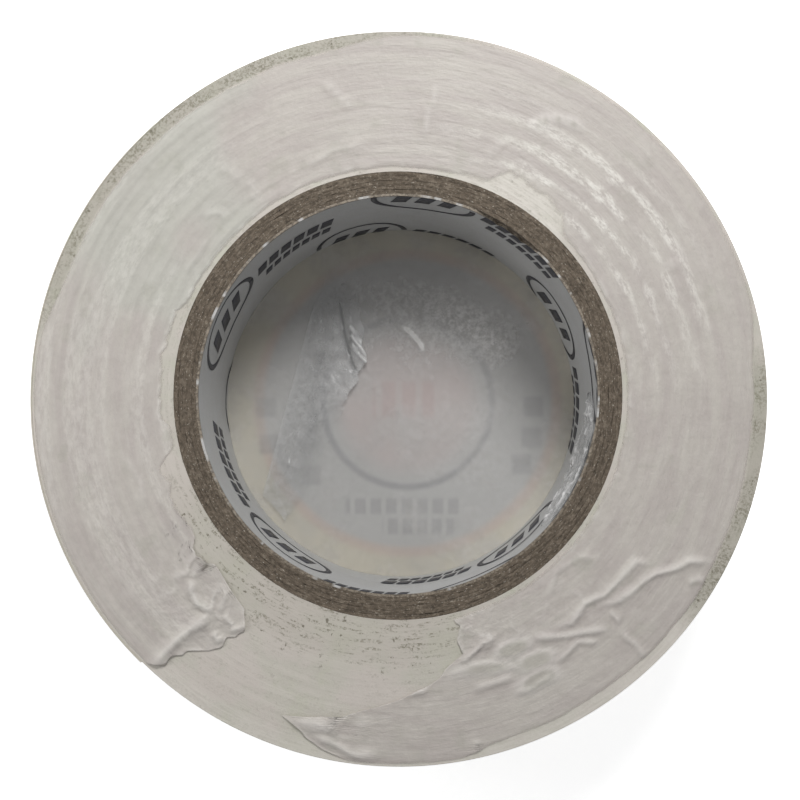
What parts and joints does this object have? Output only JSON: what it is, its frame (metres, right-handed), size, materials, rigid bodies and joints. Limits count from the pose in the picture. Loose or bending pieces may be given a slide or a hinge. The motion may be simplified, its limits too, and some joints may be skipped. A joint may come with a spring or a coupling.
{
  "type": "electrical tape roll",
  "caption": "Roll of white vinyl electrical tape on a chipboard core, with a peelable free end, clear film on its faces and a round label closing the back.",
  "frame": {"origin": "on the roll's axis, at the label's lower face, which the roll lies on", "axes": "+Z along the roll's axis towards the open end of the core; +X to the right and +Y up as seen from the open end"},
  "size_m": [0.0704, 0.0703, 0.0193],
  "materials": {
    "printed_paper": "matt white paper with dark print",
    "chipboard": "rough cut grey-brown board",
    "vinyl": "satin white vinyl, dusty at the cut edges",
    "adhesive": "tacky translucent adhesive",
    "clear_film": "clear wrinkled plastic film",
    "label_paper": "printed coated paper"
  },
  "bodies": {
    "roll": {"core_liner": "printed_paper", "core_ply_1": "chipboard", "core_ply_2": "chipboard", "core_ply_3": "chipboard", "core_ply_4": "chipboard", "core_ply_5": "chipboard", "tape_winding": "vinyl", "clear_film_front": "clear_film", "clear_film_bore_flap": "clear_film", "clear_film_bore_edge": "clear_film", "clear_film_back": "clear_film", "label_disc": "label_paper"},
    "tail_1": {"tail_backing_1": "vinyl", "tail_adhesive_1": "adhesive"},
    "tail_2": {"tail_backing_2": "vinyl", "tail_adhesive_2": "adhesive"},
    "tail_3": {"tail_backing_3": "vinyl", "tail_adhesive_3": "adhesive"},
    "tail_4": {"tail_backing_4": "vinyl", "tail_adhesive_4": "adhesive"},
    "tail_5": {"tail_backing_5": "vinyl", "tail_adhesive_5": "adhesive"},
    "tail_6": {"tail_backing_6": "vinyl", "tail_adhesive_6": "adhesive"},
    "tail_7": {"tail_backing_7": "vinyl", "tail_adhesive_7": "adhesive"},
    "tail_8": {"tail_backing_8": "vinyl", "tail_adhesive_8": "adhesive"}
  },
  "joints": [
    {"name": "peel_1", "type": "hinge", "parent": "roll", "child": "tail_1", "pos_m": [-0.0231, 0.02658, 0.00967], "axis": [0, 0, -1], "range_deg": [0, 20]},
    {"name": "peel_2", "type": "hinge", "parent": "tail_1", "child": "tail_2", "pos_m": [-0.02813, 0.02119, 0.00967], "axis": [0, 0, -1], "range_deg": [0, 20]},
    {"name": "peel_3", "type": "hinge", "parent": "tail_2", "child": "tail_3", "pos_m": [-0.03192, 0.01489, 0.00967], "axis": [0, 0, -1], "range_deg": [0, 20]},
    {"name": "peel_4", "type": "hinge", "parent": "tail_3", "child": "tail_4", "pos_m": [-0.03432, 0.00792, 0.00967], "axis": [0, 0, -1], "range_deg": [0, 20]},
    {"name": "peel_5", "type": "hinge", "parent": "tail_4", "child": "tail_5", "pos_m": [-0.03523, 0.00061, 0.00967], "axis": [0, 0, -1], "range_deg": [0, 20]},
    {"name": "peel_6", "type": "hinge", "parent": "tail_5", "child": "tail_6", "pos_m": [-0.03459, -0.00672, 0.00967], "axis": [0, 0, -1], "range_deg": [0, 20]},
    {"name": "peel_7", "type": "hinge", "parent": "tail_6", "child": "tail_7", "pos_m": [-0.03244, -0.01377, 0.00967], "axis": [0, 0, -1], "range_deg": [0, 20]},
    {"name": "peel_8", "type": "hinge", "parent": "tail_7", "child": "tail_8", "pos_m": [-0.02887, -0.02022, 0.00967], "axis": [0, 0, -1], "range_deg": [0, 20]}
  ],
  "couplings": [
    {"joint": "peel_2", "follows": "peel_1", "ratio": 1},
    {"joint": "peel_3", "follows": "peel_1", "ratio": 1},
    {"joint": "peel_4", "follows": "peel_1", "ratio": 1},
    {"joint": "peel_5", "follows": "peel_1", "ratio": 1},
    {"joint": "peel_6", "follows": "peel_1", "ratio": 1},
    {"joint": "peel_7", "follows": "peel_1", "ratio": 1},
    {"joint": "peel_8", "follows": "peel_1", "ratio": 1}
  ]
}
